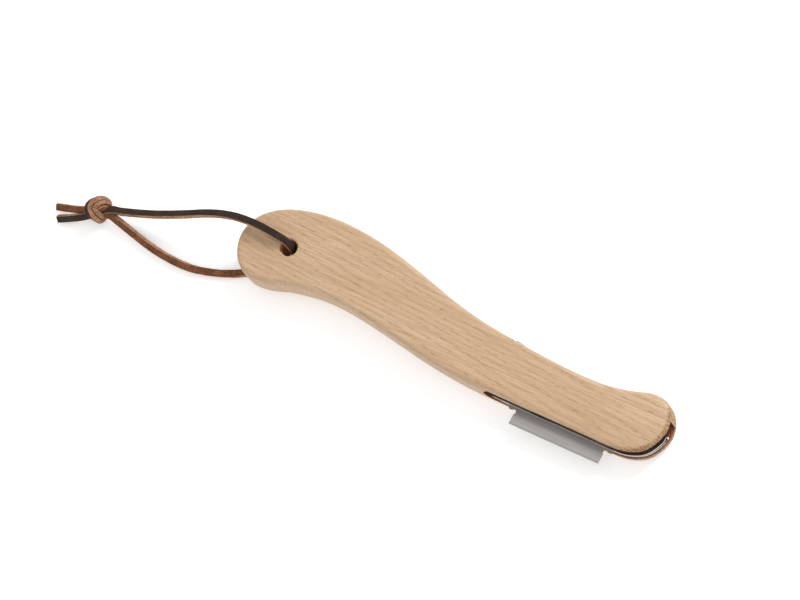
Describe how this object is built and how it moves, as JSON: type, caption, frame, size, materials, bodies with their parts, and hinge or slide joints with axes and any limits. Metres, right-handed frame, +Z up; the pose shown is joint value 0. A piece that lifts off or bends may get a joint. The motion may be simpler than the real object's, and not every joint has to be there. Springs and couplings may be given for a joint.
{
  "type": "bread lame",
  "caption": "Dough-scoring knife: curved oak handle with a folded steel clip that grips a razor blade in its lower edge, and a knotted leather lanyard.",
  "frame": {"origin": "centre of the box of handle, clip and blade, on the surface that the knife lies on", "axes": "+X from the lanyard end to the blade end, +Y from the cutting edge to the upper edge, +Z up out of the front face"},
  "size_m": [0.2876, 0.0449, 0.0173],
  "materials": {
    "oak": "oiled, satin",
    "clip_steel": "satin",
    "blade_steel": "satin",
    "dark_leather": "matte grain side",
    "tan_leather": "matte flesh side"
  },
  "bodies": {
    "handle": {"handle": "oak", "lace_upper": "dark_leather", "lace_lower": "tan_leather", "lace_knot": "tan_leather", "lace_tail_upper": "tan_leather", "lace_tail_lower": "dark_leather"},
    "clip": {"blade_clip": "clip_steel"},
    "blade": {"razor_blade": "blade_steel"}
  },
  "joints": [
    {"name": "clip_slide", "type": "slide", "parent": "handle", "child": "clip", "axis": [0, -1, 0], "range_m": [0, 0.024]},
    {"name": "blade_slide", "type": "slide", "parent": "clip", "child": "blade", "axis": [0, -1, 0], "range_m": [0, 0.018]}
  ]
}
